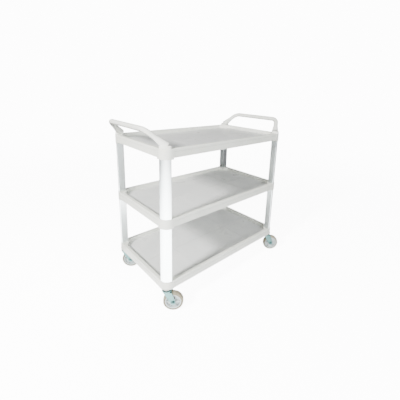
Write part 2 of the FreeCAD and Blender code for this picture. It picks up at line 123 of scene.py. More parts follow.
class Wiring:
    """Places nodes in one node tree and joins their sockets."""

    def __init__(self, tree: bpy.types.NodeTree) -> None:
        """Keep the tree that the nodes go into."""
        self.tree = tree

    @classmethod
    def blank(cls, owner: bpy.types.Material | bpy.types.World) -> "Wiring":
        """Empty a node tree, and take it for new nodes.

        Args:
            owner: The material or the world that has the tree.

        Returns:
            The tree's wiring.
        """
        owner.use_nodes = True
        owner.node_tree.nodes.clear()
        return cls(owner.node_tree)

    def feed(self, socket: Socket, value: Feed) -> None:
        """Join a socket to another one, or set its own value.

        Args:
            socket: The input to fill.
            value: An output socket, a number, a vector or a colour without alpha.
        """
        if isinstance(value, Socket):
            self.tree.links.new(value, socket)
        elif socket.type == "RGBA" and isinstance(value, tuple):
            socket.default_value = (*value[:3], 1.0)
        else:
            socket.default_value = value

    def add(
        self, kind: str, feeds: dict[str | int, Feed] | None = None, **settings: object
    ) -> bpy.types.Node:
        """Place one node.

        Args:
            kind: Blender's class name for the node.
            feeds: What goes into each input, by the input's name or number.
            **settings: The node's own options.

        Returns:
            The new node.
        """
        node = self.tree.nodes.new(kind)
        for name, value in settings.items():
            setattr(node, name, value)
        for key, value in (feeds or {}).items():
            self.feed(node.inputs[key], value)
        return node

    def calc(self, operation: str, *values: Feed, clamp: bool = False) -> Socket:
        """Work out one number from others.

        Args:
            operation: The Math node's operation.
            *values: Its inputs in order.
            clamp: Whether the result is kept from 0 to 1.

        Returns:
            The result's socket.
        """
        feeds = dict(enumerate(values))
        return self.add("ShaderNodeMath", feeds, operation=operation, use_clamp=clamp).outputs[0]

    def vector(self, operation: str, *values: Feed) -> bpy.types.NodeOutputs:
        """Work out one vector, or a number about vectors.

        Args:
            operation: The Vector Math node's operation.
            *values: Its inputs in order.

        Returns:
            The node's outputs, which are Vector and Value.
        """
        feeds = dict(enumerate(values))
        return self.add("ShaderNodeVectorMath", feeds, operation=operation).outputs

    def stretch(self, point: Feed, factors: Feed) -> Socket:
        """Multiply a point by a vector or a number, axis by axis.

        Args:
            point: The point's socket.
            factors: A number, a vector, or a socket with either.

        Returns:
            The stretched point's socket.
        """
        each = (factors, factors, factors) if isinstance(factors, float) else factors
        return self.vector("MULTIPLY", point, each)["Vector"]

    def shrink(self, point: Feed, size: Feed) -> Socket:
        """Divide a point by a size, so that a pattern one unit wide becomes that large."""
        return self.stretch(point, self.calc("DIVIDE", 1.0, size))

    def height(self, vector: Feed) -> Socket:
        """Take the upward part of a vector."""
        return self.add("ShaderNodeSeparateXYZ", {0: vector}).outputs[2]

    def noise(self, point: Feed, detail: float = 2.0, rough: float = 0.5) -> Socket:
        """Smooth noise about one unit wide, as a number from 0 to 1.

        Args:
            point: Where it is read.
            detail: How many finer layers it has.
            rough: How strong the finer layers are.

        Returns:
            The noise's socket.
        """
        feeds = {"Vector": point, "Scale": 1.0, "Detail": detail, "Roughness": rough}
        return self.add("ShaderNodeTexNoise", feeds).outputs[0]

    def band(
        self, value: Feed, low: float, high: float, bottom: float = 0.0, top: float = 1.0
    ) -> Socket:
        """Move a number smoothly from one level to another as it crosses a band.

        Args:
            value: The number.
            low: Where the band starts.
            high: Where it ends.
            bottom: The result below the band.
            top: The result above it.

        Returns:
            The result's socket.
        """
        feeds = dict(enumerate((value, low, high, bottom, top)))
        return self.add("ShaderNodeMapRange", feeds, interpolation_type="SMOOTHSTEP").outputs[0]

    def blend(self, share: Feed, first: Feed, second: Feed) -> Socket:
        """Mix two colours.

        Args:
            share: How much of the second one is in it.
            first: The first colour.
            second: The second colour.

        Returns:
            The mixed colour's socket.
        """
        return self.add("ShaderNodeMix", {0: share, 6: first, 7: second}, data_type="RGBA").outputs[2]

    def coat(self, mask: Feed, share: float, under: Feed, over: Feed) -> Socket:
        """Lay one colour on another where a mask lets it.

        Args:
            mask: Where it goes, from 0 to 1.
            share: How well it covers where the mask is 1.
            under: The colour below.
            over: The colour on top.

        Returns:
            The resulting colour's socket.
        """
        return self.blend(self.calc("MULTIPLY", mask, share), under, over)

    def mix(self, share: Feed, first: Feed, second: Feed) -> Socket:
        """Mix two numbers, with this share of the second one."""
        return self.add("ShaderNodeMix", {0: share, 2: first, 3: second}, data_type="FLOAT").outputs[0]

    def relief(self, depth: float, height: Feed, **under: Feed) -> Socket:
        """Turn fine relief into a normal.

        Args:
            depth: How far the relief rises where its height is 1, in metres.
            height: The relief.
            **under: The Normal of the relief that it rides on, if any.

        Returns:
            The normal's socket.
        """
        return self.add("ShaderNodeBump", {"Distance": depth, "Height": height, **under}).outputs[0]


# Effects that several finishes share


class Effect(ABC):
    """A shader node group that is built once and placed in each material that needs it."""

    name: ClassVar[str]
    inputs: ClassVar[tuple[Port, ...]]
    outputs: ClassVar[tuple[Port, ...]]

    @classmethod
    @abstractmethod
    def wire(cls, w: Wiring, entry: bpy.types.NodeOutputs) -> tuple[Socket, ...]:
        """Build the group's inside.

        Args:
            w: The wiring of the group's tree.
            entry: The group's inputs, seen from inside.

        Returns:
            What goes to each output, in order.
        """

    @classmethod
    def tree(cls) -> bpy.types.NodeTree:
        """Find the group's tree, or build it the first time.

        Returns:
            The tree.
        """
        made = bpy.data.node_groups.get(cls.name)
        if made is not None:
            return made
        made = bpy.data.node_groups.new(cls.name, "ShaderNodeTree")
        for side, ports in (("INPUT", cls.inputs), ("OUTPUT", cls.outputs)):
            for port in ports:
                kind = port.kind.value
                item = made.interface.new_socket(name=port.name, in_out=side, socket_type=kind)
                if side == "INPUT":
                    colour = port.kind is PortKind.COLOUR
                    item.default_value = (*port.default, 1.0) if colour else port.default
        w = Wiring(made)
        entry = w.add("NodeGroupInput").outputs
        results = cls.wire(w, entry)
        w.add("NodeGroupOutput", dict(enumerate(results)))
        return made

    @classmethod
    def place(cls, w: Wiring, point: Socket, **feeds: Feed) -> bpy.types.NodeOutputs:
        """Place the group in a material.

        Args:
            w: The material's wiring.
            point: The place on the piece, in metres.
            **feeds: What goes into each other input, by its name.

        Returns:
            The group's outputs.
        """
        return w.add("ShaderNodeGroup", {"Point": point, **feeds}, node_tree=cls.tree()).outputs


POINT = Port("Point", PortKind.VECTOR, (0.0, 0.0, 0.0))


class ToneDrift(Effect):
    """Broad, cloudy change of colour, as pigment drifts in a moulding or a plating bath."""

    name = "tone_drift"
    inputs = (
        POINT,
        Port("Width", default=0.1),
        Port("Base", PortKind.COLOUR, (0.8, 0.8, 0.8)),
        Port("Shade", PortKind.COLOUR, (0.7, 0.7, 0.7)),
        Port("Tint", PortKind.COLOUR, (0.85, 0.85, 0.85)),
    )
    outputs = (Port("Colour", PortKind.COLOUR),)
    wide_band = (0.38, 0.68)
    wide_share = 0.9
    narrow_scale = 4.3
    narrow_band = (0.5, 0.72)
    narrow_share = 0.6

    @classmethod
    def wire(cls, w: Wiring, entry: bpy.types.NodeOutputs) -> tuple[Socket, ...]:
        """Mix the base with the shade in wide clouds and with the tint in narrower ones.

        Args:
            w: The wiring of the group's tree.
            entry: The group's inputs, seen from inside.

        Returns:
            The drifted colour.
        """
        scaled = w.shrink(entry["Point"], entry["Width"])
        wide = w.band(w.noise(scaled, detail=3.0, rough=0.55), *cls.wide_band)
        finer = w.noise(w.stretch(scaled, cls.narrow_scale))
        narrow = w.band(finer, *cls.narrow_band, top=cls.narrow_share)
        shaded = w.coat(wide, cls.wide_share, entry["Base"], entry["Shade"])
        return (w.blend(narrow, shaded, entry["Tint"]),)


class PebbleGrain(Effect):
    """Fine pebbles with soft valleys, as a spark-etched mould leaves on plastic or rubber."""

    name = "pebble_grain"
    inputs = (POINT, Port("Size", default=0.001))
    outputs = (Port("Height"), Port("Valley"))
    smoothness = 0.6
    randomness = 0.9
    fine_scale = 2.7
    fine_share = 0.45
    valley_band = (0.35, 0.75)

    @classmethod
    def wire(cls, w: Wiring, entry: bpy.types.NodeOutputs) -> tuple[Socket, ...]:
        """Let the height fall away from each pebble's middle, and ride finer noise on it.

        Args:
            w: The wiring of the group's tree.
            entry: The group's inputs, seen from inside.

        Returns:
            The relief's height and the mask of its valleys.
        """
        scaled = w.shrink(entry["Point"], entry["Size"])
        feeds = {"Vector": scaled, "Scale": 1.0, "Smoothness": cls.smoothness}
        feeds["Randomness"] = cls.randomness
        cells = w.add("ShaderNodeTexVoronoi", feeds, feature="SMOOTH_F1").outputs[0]
        fine = w.noise(w.stretch(scaled, cls.fine_scale))
        height = w.calc("SUBTRACT", w.calc("MULTIPLY", fine, cls.fine_share), cells)
        return height, w.band(cells, *cls.valley_band)


class EdgeWear(Effect):
    """Mask of the rubbed strip along outer and inner edges."""

    name = "edge_wear"
    inputs = (POINT, Port("Width", default=0.002), Port("Patch", default=0.03))
    outputs = (Port("Mask"),)
    rounding_samples = 4
    turned_band = (0.02, 0.22)
    patch_band = (0.3, 0.62)

    @classmethod
    def wire(cls, w: Wiring, entry: bpy.types.NodeOutputs) -> tuple[Socket, ...]:
        """Compare the surface's normal with one rounded over the strip, and break it into patches.

        Args:
            w: The wiring of the group's tree.
            entry: The group's inputs, seen from inside.

        Returns:
            The mask.
        """
        feeds = {"Radius": entry["Width"]}
        rounded = w.add("ShaderNodeBevel", feeds, samples=cls.rounding_samples).outputs[0]
        plain = w.add("ShaderNodeNewGeometry").outputs["Normal"]
        turned = w.calc("SUBTRACT", 1.0, w.vector("DOT_PRODUCT", rounded, plain)["Value"])
        patch = w.noise(w.shrink(entry["Point"], entry["Patch"]), detail=3.0, rough=0.6)
        strip = w.band(turned, *cls.turned_band)
        return (w.calc("MULTIPLY", strip, w.band(patch, *cls.patch_band), clamp=True),)


class Scuffs(Effect):
    """Mask of short rub marks that cross each other at slanted angles."""

    name = "scuffs"
    inputs = (POINT, Port("Length", default=0.05), Port("Fineness", default=26.0))
    outputs = (Port("Mask"),)
    headings_and_lifts = ((0.52, 0.0), (-0.87, 7.3))
    upright_fineness = 3.0
    crest_band = (0.63, 0.72)
    patch_scale = 0.4
    patch_band = (0.45, 0.62)

    @classmethod
    def wire(cls, w: Wiring, entry: bpy.types.NodeOutputs) -> tuple[Socket, ...]:
        """Keep the crests of noise that is drawn out in two directions, inside wide patches.

        Args:
            w: The wiring of the group's tree.
            entry: The group's inputs, seen from inside.

        Returns:
            The mask.
        """
        scaled = w.shrink(entry["Point"], entry["Length"])
        marks: list[Socket] = []
        for heading, lift in cls.headings_and_lifts:
            feeds = {0: scaled, "Angle": heading}
            turned = w.add("ShaderNodeVectorRotate", feeds, rotation_type="Z_AXIS").outputs[0]
            squeeze = {0: 1.0, 1: entry["Fineness"], 2: cls.upright_fineness}
            drawn = w.stretch(turned, w.add("ShaderNodeCombineXYZ", squeeze).outputs[0])
            moved = w.vector("ADD", drawn, (lift, lift, lift))["Vector"]
            marks.append(w.band(w.noise(moved, detail=1.0), *cls.crest_band))
        patch = w.band(w.noise(w.stretch(scaled, cls.patch_scale)), *cls.patch_band)
        return (w.calc("MULTIPLY", w.calc("MAXIMUM", *marks), patch),)


class CornerDustAndShade(Effect):
    """Mask of a dusty film and painted shade in corners, grooves and round fastenings, strongest where the
    ambient occlusion closes in.
    """

    name = "corner_dust_and_shade"
    inputs = (POINT, Port("Reach", default=0.012), Port("Patch", default=0.04))
    outputs = (Port("Mask"),)
    reach_samples = 8
    closed_band = (0.1, 0.5)
    patch_band = (0.25, 0.7)
    thinnest = 0.35

    @classmethod
    def wire(cls, w: Wiring, entry: bpy.types.NodeOutputs) -> tuple[Socket, ...]:
        """Take how closed in a spot is within reach, and thin it with noise, as a mask of a dusty film and
        painted shade.

        Args:
            w: The wiring of the group's tree.
            entry: The group's inputs, seen from inside.

        Returns:
            The mask.
        """
        feeds = {"Distance": entry["Reach"]}
        settings = {"samples": cls.reach_samples, "only_local": True}
        # painted shade: ambient occlusion finds the corners where shade falls, and the mask darkens them
        open_share = w.add("ShaderNodeAmbientOcclusion", feeds, **settings).outputs["AO"]
        closed = w.band(w.calc("SUBTRACT", 1.0, open_share), *cls.closed_band)
        patch = w.noise(w.shrink(entry["Point"], entry["Patch"]), detail=4.0, rough=0.6)
        thinned = w.band(patch, *cls.patch_band, bottom=cls.thinnest)
        return (w.calc("MULTIPLY", closed, thinned, clamp=True),)


class DrawnLines(Effect):
    """Fine parallel lines, as a die leaves along an extrusion or a tool round a turned part."""

    name = "drawn_lines"
    inputs = (POINT, Port("Across", PortKind.VECTOR, (1000.0, 1000.0, 4.0)))
    outputs = (Port("Height"), Port("Streak"))
    streak_scale = (0.16, 0.16, 0.4)
    streak_band = (0.35, 0.7)

    @classmethod
    def wire(cls, w: Wiring, entry: bpy.types.NodeOutputs) -> tuple[Socket, ...]:
        """Read noise that is squeezed across the lines, and broader streaks a sixth as fine.

        Args:
            w: The wiring of the group's tree.
            entry: The group's inputs, seen from inside.

        Returns:
            The lines' height and the streaks' mask.
        """
        squeezed = w.stretch(entry["Point"], entry["Across"])
        broad = w.noise(w.stretch(squeezed, cls.streak_scale))
        lines = w.noise(squeezed, detail=3.0, rough=0.65)
        return lines, w.band(broad, *cls.streak_band)


class Spangle(Effect):
    """Crystal facets of a zinc or brass coat, each a little lighter or darker."""

    name = "spangle"
    inputs = (POINT, Port("Size", default=0.003))
    outputs = (Port("Facet"), Port("Cloud"))
    cloud_scale = 0.35
    cloud_band = (0.35, 0.68)

    @classmethod
    def wire(cls, w: Wiring, entry: bpy.types.NodeOutputs) -> tuple[Socket, ...]:
        """Give each cell of a Voronoi pattern its own level, and let clouds drift over the cells.

        Args:
            w: The wiring of the group's tree.
            entry: The group's inputs, seen from inside.

        Returns:
            Each facet's level and the clouds' mask.
        """
        scaled = w.shrink(entry["Point"], entry["Size"])
        feeds = {"Vector": w.vector("ADD", scaled, w.noise(scaled))["Vector"], "Scale": 1.0}
        cell = w.add("ShaderNodeTexVoronoi", feeds, feature="F1").outputs["Color"]
        level = w.add("ShaderNodeSeparateColor", {0: cell}).outputs[0]
        cloud = w.noise(w.stretch(scaled, cls.cloud_scale), detail=3.0)
        return level, w.band(cloud, *cls.cloud_band)


# Finishes


@dataclass(frozen=True)
class Finish(ABC):
    """One of the trolley's finishes, which makes the material of its slot in the record."""

    slot: str

    @abstractmethod
    def dress(self, w: Wiring, point: Socket) -> dict[str, Feed]:
        """Wire the finish.

        Args:
            w: The material's wiring.
            point: The place on the piece, in metres.

        Returns:
            What goes into each input of the Principled BSDF, by the input's name.
        """

    def material(self) -> bpy.types.Material:
        """Find the finish's material, or build it the first time.

        Returns:
            The material.
        """
        name = f"{self.slot}_finish"
        made = bpy.data.materials.get(name)
        if made is not None:
            return made
        made = bpy.data.materials.new(name)
        w = Wiring.blank(made)
        point = w.add("ShaderNodeTexCoord").outputs["Object"]
        shader = w.add("ShaderNodeBsdfPrincipled", self.dress(w, point))
        w.add("ShaderNodeOutputMaterial", {"Surface": shader.outputs[0]})
        return made


@dataclass(frozen=True)
class MouldedPlastic(Finish):
    """Injection-moulded polypropylene or nylon with a pebbled skin, rubbed edges, a thin dusty film,
    painted shade in its corners and, where asked, painted shade on its undersides.
    """

    base: Rgb = (0.775, 0.79, 0.73)
    shade: Rgb = (0.69, 0.71, 0.645)
    tint: Rgb = (0.81, 0.80, 0.72)
    rubbed: Rgb = (0.86, 0.86, 0.85)
    # tone of scuffs and pebble valleys, and of the dusty film with painted shade in the corners
    dust_and_shade_tone: Rgb = (0.27, 0.265, 0.24)
    cloud_width: float = 0.16
    grain_size: float = 0.0016
    grain_depth: float = 0.00007
    roughness: float = 0.42
    wear_width: float = 0.0022
    wear: float = 0.45
    wear_gloss: float = -0.12
    dust_and_shade_reach: float = 0.008
    dust_and_shade_share: float = 0.8
    dust_rough: float = 0.2
    valley_dust: float = 0.12
    valley_rough: float = 0.06
    # painted shade on faces that point down: its share, its near-black tone, and the band of the normal's
    # height where it fades in
    underside_shade_share: float = 0.0
    underside_shade_tone: Rgb = (0.09, 0.09, 0.082)
    underside_shade_band: tuple[float, float] = (-0.8, -0.35)
    scuff_length: float = 0.06
    scuff: float = 0.25
    scuff_rough: float = 0.15
    scuff_cut: float = -0.35
    refraction: float = 1.49

    def dress(self, w: Wiring, point: Socket) -> dict[str, Feed]:
        """Layer on the colour clouds, rubbed edges, scuffs, a dusty film with painted shade in the corners
        and, where asked, painted shade on the undersides; and pebbles on the relief.

        Args:
            w: The material's wiring.
            point: The place on the piece, in metres.

        Returns:
            What goes into each of the shader's inputs.
        """
        tones = {"Base": self.base, "Shade": self.shade, "Tint": self.tint}
        colour = ToneDrift.place(w, point, Width=self.cloud_width, **tones)["Colour"]
        edge = EdgeWear.place(w, point, Width=self.wear_width)["Mask"]
        scuffed = Scuffs.place(w, point, Length=self.scuff_length)["Mask"]
        dust_and_shade_mask = CornerDustAndShade.place(w, point, Reach=self.dust_and_shade_reach)["Mask"]
        grain = PebbleGrain.place(w, point, Size=self.grain_size)
        worn = w.coat(edge, self.wear, colour, self.rubbed)
        marked = w.coat(scuffed, self.scuff, worn, self.dust_and_shade_tone)
        pitted = w.coat(grain["Valley"], self.valley_dust, marked, self.dust_and_shade_tone)
        # painted shade: corners where ambient occlusion closes in are darkened towards this tone, along
        # with a dusty film
        dusted_and_shaded = w.coat(dust_and_shade_mask, self.dust_and_shade_share, pitted, self.dust_and_shade_tone)
        # painted shade: faces that point down are darkened, as shade falls under the handles
        if self.underside_shade_share:
            facing = w.height(w.add("ShaderNodeTexCoord").outputs["Normal"])
            darkening_share = w.band(facing, *self.underside_shade_band, self.underside_shade_share, 0.0)
            dusted_and_shaded = w.blend(darkening_share, dusted_and_shaded, self.underside_shade_tone)
        smooth = w.calc("MULTIPLY", edge, self.wear_gloss)
        rough = w.calc("MULTIPLY_ADD", scuffed, self.scuff_rough, smooth)
        rougher = w.calc("MULTIPLY_ADD", dust_and_shade_mask, self.dust_rough, rough)
        drift = w.calc("MULTIPLY_ADD", grain["Valley"], self.valley_rough, self.roughness)
        scratched = w.calc("MULTIPLY_ADD", scuffed, self.scuff_cut, grain["Height"])
        return {
            "Base Color": dusted_and_shaded,
            "Roughness": w.calc("ADD", drift, rougher, clamp=True),
            "Normal": w.relief(self.grain_depth, scratched),
            "IOR": self.refraction,
        }


@dataclass(frozen=True)
class TrayPlastic(MouldedPlastic):
    """The shelves' plastic, with a coarser non-slip grain and more rub marks on the tray floors, whose
    colour is a darker grey than the rims' as painted shade.
    """

    level_pitch: float = 0.323
    floor_start: float = 0.115
    floor_height: float = 0.035
    # painted shade: the same moulding as the rims, painted a darker grey on the upward floors
    floor_shaded_colour: Rgb = (0.64, 0.65, 0.645)
    floor_worn: Rgb = (0.73, 0.735, 0.72)
    floor_marks: Rgb = (0.52, 0.52, 0.51)
    floor_grain: float = 0.0032
    floor_depth: float = 0.00022
    floor_scuff_length: float = 0.11
    floor_scuff_fineness: float = 34.0
    floor_scuff: float = 0.3
    floor_scuff_rough: float = 0.16
    # dusty film and painted shade on the tray floors, where ambient occlusion closes in along the rims
    floor_dust_and_shade_reach: float = 0.01
    floor_dust_and_shade: float = 0.7
    rub_scale: tuple[float, float, float] = (9.0, 9.0, 2.0)
    rub_band: tuple[float, float] = (0.4, 0.66)
    rub_share: float = 0.5
    gloss_band: tuple[float, float] = (0.35, 0.7)
    gloss_ends: tuple[float, float] = (0.36, 0.27)
    level_band: tuple[float, float] = (0.55, 0.95)

    def dress(self, w: Wiring, point: Socket) -> dict[str, Feed]:
        """Dress it as moulded plastic, then change colour, gloss and relief where a tray floor is; the
        darker floor colour is painted shade.

        Args:
            w: The material's wiring.
            point: The place on the piece, in metres.

        Returns:
            What goes into each of the shader's inputs.
        """
        plain = super().dress(w, point)
        floor = self.floor_mask(w, point)
        strokes = {"Length": self.floor_scuff_length, "Fineness": self.floor_scuff_fineness}
        scuffed = Scuffs.place(w, point, **strokes)["Mask"]
        dust_and_shade_mask = CornerDustAndShade.place(w, point, Reach=self.floor_dust_and_shade_reach)["Mask"]
        rubbed = w.noise(w.stretch(point, self.rub_scale), detail=4.0, rough=0.6)
        thin = w.band(rubbed, *self.rub_band, 0.0, self.rub_share)
        worn = w.blend(thin, self.floor_shaded_colour, self.floor_worn)
        marked = w.coat(scuffed, self.floor_scuff, worn, self.floor_marks)
        # painted shade: the floors darken near the rims where ambient occlusion closes in, with a dusty
        # film
        dusted_and_shaded = w.coat(dust_and_shade_mask, self.floor_dust_and_shade, marked, self.dust_and_shade_tone)
        gloss = w.band(rubbed, *self.gloss_band, *self.gloss_ends)
        rough = w.calc("MULTIPLY_ADD", scuffed, self.floor_scuff_rough, gloss)
        coarse = PebbleGrain.place(w, point, Size=self.floor_grain)["Height"]
        height = w.calc("MULTIPLY", coarse, floor)
        return plain | {
            "Base Color": w.blend(floor, plain["Base Color"], dusted_and_shaded),
            "Roughness": w.mix(floor, plain["Roughness"], rough),
            "Normal": w.relief(self.floor_depth, height, Normal=plain["Normal"]),
        }

    def floor_mask(self, w: Wiring, point: Socket) -> Socket:
        """Find the level faces that lie below the rims.

        Args:
            w: The material's wiring.
            point: The place on the piece, in metres.

        Returns:
            A mask that is 1 on the tray floors.
        """
        raised = w.calc("SUBTRACT", w.height(point), self.floor_start)
        within = w.calc("MODULO", raised, self.level_pitch)
        low = w.calc("LESS_THAN", within, self.floor_height)
        up = w.height(w.add("ShaderNodeTexCoord").outputs["Normal"])
        return w.calc("MULTIPLY", low, w.band(up, *self.level_band))


@dataclass(frozen=True)
class DrawnMetal(Finish):
    """Extruded or turned metal with lines along the work, a thin oxide, rubbed edges, and corners darkened
    by a dusty film and painted shade.
    """

    base: Rgb = (0.86, 0.88, 0.88)
    streak: Rgb = (0.80, 0.83, 0.84)
    rubbed: Rgb = (0.94, 0.94, 0.93)
    dust_and_shade_tone: Rgb = (0.35, 0.36, 0.36)
    across: tuple[float, float, float] = (900.0, 900.0, 3.0)
    line_depth: float = 0.00002
    roughness: float = 0.34
    metallic: float = 1.0
    streak_share: float = 0.7
    wear: float = 0.5
    wear_width: float = 0.0012
    wear_patch: float = 0.02
    dust_and_shade_reach: float = 0.008
    dust_and_shade_share: float = 0.25
    dust_rough: float = 0.25
    dust_dulling: float = -0.5
    cloud_scale: tuple[float, float, float] = (14.0, 14.0, 6.0)
    cloud_band: tuple[float, float] = (0.35, 0.7)
    cloud_rough: float = 0.07
    line_rough: float = 0.08

    def dress(self, w: Wiring, point: Socket) -> dict[str, Feed]:
        """Streak the colour and the gloss along the lines, brighten the edges, and dull and darken the
        corners with a dusty film and painted shade.

        Args:
            w: The material's wiring.
            point: The place on the piece, in metres.

        Returns:
            What goes into each of the shader's inputs.
        """
        lines = DrawnLines.place(w, point, Across=self.across)
        drift = w.noise(w.stretch(point, self.cloud_scale), detail=3.0)
        cloud = w.band(drift, *self.cloud_band)
        edge = EdgeWear.place(w, point, Width=self.wear_width, Patch=self.wear_patch)["Mask"]
        dust_and_shade_mask = CornerDustAndShade.place(w, point, Reach=self.dust_and_shade_reach)["Mask"]
        streaked = w.coat(lines["Streak"], self.streak_share, self.base, self.streak)
        worn = w.coat(edge, self.wear, streaked, self.rubbed)
        gloss = w.calc("MULTIPLY_ADD", cloud, self.cloud_rough, self.roughness)
        fine = w.calc("MULTIPLY_ADD", lines["Height"], self.line_rough, gloss)
        fall = self.dust_dulling * self.metallic
        return {
            # painted shade: the corner mask darkens the colour where ambient occlusion closes in, along
            # with a dusty film
            "Base Color": w.coat(dust_and_shade_mask, self.dust_and_shade_share, worn, self.dust_and_shade_tone),
            "Roughness": w.calc("MULTIPLY_ADD", dust_and_shade_mask, self.dust_rough, fine, clamp=True),
            "Metallic": w.calc("MULTIPLY_ADD", dust_and_shade_mask, fall, self.metallic, clamp=True),
            "Normal": w.relief(self.line_depth, lines["Height"]),
        }


@dataclass(frozen=True)
class PlatedMetal(Finish):
    """Pressed or turned metal with a crystalline coat, passivate clouds, rubbed edges, and corners
    darkened by a grimy film and painted shade.
    """

    base: Rgb = (0.07, 0.16, 0.155)
    cloud: Rgb = (0.032, 0.10, 0.098)
    rubbed: Rgb = (0.26, 0.34, 0.33)
    grime_and_shade_tone: Rgb = (0.035, 0.04, 0.038)
    facet_size: float = 0.0022
    facet_depth: float = 0.00003
    facet_share: float = 0.22
    facet_rough: float = 0.1
    roughness: float = 0.33
    metallic: float = 0.75
    wear: float = 0.6
    wear_width: float = 0.0009
    wear_patch: float = 0.008
    grime_and_shade_reach: float = 0.005
    grime_patch: float = 0.012
    grime_and_shade_share: float = 0.6
    grime_rough: float = 0.3
    grime_dulling: float = -0.6

    def dress(self, w: Wiring, point: Socket) -> dict[str, Feed]:
        """Give each facet its own level, drift the passivate over them, and darken the corners with a
        grimy film and painted shade.

        Args:
            w: The material's wiring.
            point: The place on the piece, in metres.

        Returns:
            What goes into each of the shader's inputs.
        """
        facets = Spangle.place(w, point, Size=self.facet_size)
        edge = EdgeWear.place(w, point, Width=self.wear_width, Patch=self.wear_patch)["Mask"]
        corners = {"Reach": self.grime_and_shade_reach, "Patch": self.grime_patch}
        grime_and_shade_mask = CornerDustAndShade.place(w, point, **corners)["Mask"]
        passivate = w.blend(facets["Cloud"], self.base, self.cloud)
        lit = w.coat(facets["Facet"], self.facet_share, passivate, self.rubbed)
        worn = w.coat(edge, self.wear, lit, self.rubbed)
        gloss = w.calc("MULTIPLY_ADD", facets["Facet"], self.facet_rough, self.roughness)
        fall = self.grime_dulling * self.metallic
        return {
            # painted shade: the corner mask darkens where ambient occlusion closes in, along with a grimy
            # film
            "Base Color": w.coat(grime_and_shade_mask, self.grime_and_shade_share, worn, self.grime_and_shade_tone),
            "Roughness": w.calc("MULTIPLY_ADD", grime_and_shade_mask, self.grime_rough, gloss, clamp=True),
            "Metallic": w.calc("MULTIPLY_ADD", grime_and_shade_mask, fall, self.metallic, clamp=True),
            "Normal": w.relief(self.facet_depth, facets["Facet"]),
        }


@dataclass(frozen=True)
class PaleRubber(Finish):
    """Non-marking rubber with drifting colour, soiled in scuffs, specks and along its edges."""

    base: Rgb = (0.26, 0.235, 0.17)
    shade: Rgb = (0.185, 0.17, 0.12)
    tint: Rgb = (0.32, 0.29, 0.215)
    soil: Rgb = (0.09, 0.085, 0.07)
    cloud_width: float = 0.03
    roughness: float = 0.62
    valley_rough: float = 0.12
    grain_size: float = 0.0012
    grain_depth: float = 0.00006
    scuff_length: float = 0.012
    scuff_fineness: float = 9.0
    scuff_soil: float = 0.5
    scuff_rough: float = 0.1
    speck_scale: float = 420.0
    speck_band: tuple[float, float] = (0.6, 0.72)
    speck_soil: float = 0.3
    edge_width: float = 0.003
    edge_patch: float = 0.01
    edge_soil: float = 0.18
    specular: float = 0.2

    def dress(self, w: Wiring, point: Socket) -> dict[str, Feed]:
        """Drift the colour, soil the dull spots, and raise a fine grain.

        Args:
            w: The material's wiring.
            point: The place on the piece, in metres.

        Returns:
            What goes into each of the shader's inputs.
        """
        tones = {"Base": self.base, "Shade": self.shade, "Tint": self.tint}
        colour = ToneDrift.place(w, point, Width=self.cloud_width, **tones)["Colour"]
        strokes = {"Length": self.scuff_length, "Fineness": self.scuff_fineness}
        scuffed = Scuffs.place(w, point, **strokes)["Mask"]
        edge = EdgeWear.place(w, point, Width=self.edge_width, Patch=self.edge_patch)["Mask"]
        grain = PebbleGrain.place(w, point, Size=self.grain_size)
        specks = w.noise(w.stretch(point, self.speck_scale), detail=3.0, rough=0.7)
        speck = w.band(specks, *self.speck_band)
        marks = ((scuffed, self.scuff_soil), (speck, self.speck_soil))
        darkening_share = w.calc("MAXIMUM", *(w.calc("MULTIPLY", mask, share) for mask, share in marks))
        rubbed = w.calc("MULTIPLY_ADD", edge, self.edge_soil, darkening_share, clamp=True)
        dull = w.calc("MULTIPLY_ADD", grain["Valley"], self.valley_rough, self.roughness)
        return {
            "Base Color": w.blend(rubbed, colour, self.soil),
            "Roughness": w.calc("MULTIPLY_ADD", scuffed, self.scuff_rough, dull, clamp=True),
            "Normal": w.relief(self.grain_depth, grain["Height"]),
            "Specular IOR Level": self.specular,
        }


FINISHES: dict[str, Finish] = {
    finish.slot: finish
    for finish in (
        TrayPlastic("shelf_plastic"),
        MouldedPlastic(
            "handle_plastic",
            base=(0.80, 0.81, 0.765),
            grain_size=0.0009,
            grain_depth=0.00003,
            roughness=0.33,
            cloud_width=0.09,
            # painted shade darkens the handles' undersides
            underside_shade_share=0.7,
        ),
        DrawnMetal(
            "post_aluminium", base=(0.86, 0.92, 0.92), streak=(0.76, 0.84, 0.85), roughness=0.3
        ),
        MouldedPlastic(
            "plug_nylon", base=(0.70, 0.70, 0.66), shade=(0.64, 0.64, 0.6), roughness=0.5
        ),
        PlatedMetal(
            "screw_steel", base=(0.42, 0.43, 0.44), cloud=(0.34, 0.35, 0.36), roughness=0.38
        ),
        PlatedMetal(
            "insert_brass", base=(0.72, 0.55, 0.26), cloud=(0.62, 0.45, 0.2), rubbed=(0.85, 0.7, 0.4)
        ),
        PlatedMetal("caster_zinc"),
        DrawnMetal(
            "ball_steel", base=(0.75, 0.76, 0.78), roughness=0.12, across=(2000.0, 2000.0, 900.0)
        ),
        DrawnMetal(
            "bush_steel", base=(0.55, 0.55, 0.56), streak=(0.46, 0.46, 0.47), across=(600.0, 600.0, 600.0)
        ),
        MouldedPlastic(
            "wheel_plastic",
            base=(0.50, 0.57, 0.58),
            shade=(0.42, 0.50, 0.51),
            tint=(0.55, 0.60, 0.59),
            cloud_width=0.03,
            grain_size=0.0007,
            grain_depth=0.00002,
            roughness=0.28,
            scuff_length=0.02,
            wear_width=0.0012,
        ),
        PaleRubber("tyre_rubber"),
    )
}


# Surfaces


